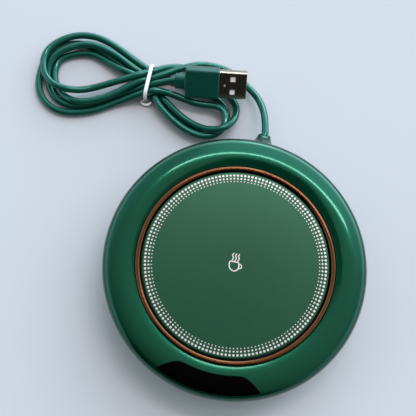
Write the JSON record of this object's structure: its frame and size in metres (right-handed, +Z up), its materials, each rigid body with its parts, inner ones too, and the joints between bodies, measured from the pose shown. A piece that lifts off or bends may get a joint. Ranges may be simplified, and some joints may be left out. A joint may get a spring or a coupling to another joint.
{
  "type": "electric mug warmer",
  "caption": "Round mug warmer with a sprung heating plate in a copper-coloured ring, a crescent display window and a tied USB cord.",
  "frame": {"origin": "centre of the round body on the table it stands on", "axes": "+Z up out of the heating plate, -Y towards the display window, +Y towards the cord exit, +X to the right seen from the display window's side"},
  "size_m": [0.1563, 0.149, 0.025],
  "materials": {
    "shell_green": "high gloss dark green moulding",
    "plate_green": "semi-gloss green enamel on the warming plate",
    "copper": "rose gold, bright rounded ring",
    "film": "amber heater film",
    "felt": "off-white insulating felt",
    "carrier_black": "black heat-proof moulding",
    "part_black": "black moulded electronic part",
    "spring_steel": "bright spring wire",
    "part_white": "white moulding",
    "window_black": "polished black lens",
    "board_green": "green circuit board",
    "foam": "conductive grey foam",
    "ribbon": "pale grey ribbon cable",
    "capacitor_blue": "blue sleeved can",
    "wire_red": "red wire sleeve",
    "wire_yellow": "yellow wire sleeve",
    "cord_green": "glossy dark green cord jacket",
    "grip_green": "satin dark green overmould",
    "steel": "zinc plated screws",
    "foot_rubber": "black rubber",
    "tie_white": "white plastic-coated wire tie",
    "plug_metal": "bright nickel plated shell",
    "contact_gold": "gold plated contacts"
  },
  "bodies": {
    "housing": {"upper_shell": "shell_green", "base_cover": "shell_green", "copper_ring": "copper", "return_springs": "spring_steel", "plate_switch": "part_black", "display_window": "window_black", "display_board": "board_green", "digit_module": "part_white", "touch_foams": "foam", "display_cable": "ribbon", "control_board": "board_green", "board_chips": "part_black", "capacitor": "capacitor_blue", "wire_sockets": "part_white", "heater_leads": "wire_red", "sensor_leads": "wire_yellow", "supply_wires": "wire_red", "cord_inner": "cord_green", "cord_grommet": "cord_green", "cord_clamp": "carrier_black", "clamp_screws": "steel", "board_screws": "steel", "base_screws": "steel", "foot_ring": "foot_rubber", "cord_lead": "cord_green", "cord_hank": "cord_green", "plug_lead": "cord_green", "cord_tie": "tie_white", "plug_grip": "grip_green", "plug_shell": "plug_metal", "plug_tongue": "part_white", "plug_contacts": "contact_gold"},
    "plate": {"heating_plate": "plate_green", "heater_film": "film", "insulation_pad": "felt", "plate_carrier": "carrier_black", "thermistor": "part_black", "switch_plunger": "part_white"}
  },
  "joints": [
    {"name": "plate_press", "type": "slide", "parent": "housing", "child": "plate", "axis": [0, 0, -1], "range_m": [0, 0.0008], "stiffness_N_per_m": 1000, "springref_m": -0.0015, "deforming": ["return_springs", "heater_leads", "sensor_leads"]}
  ]
}
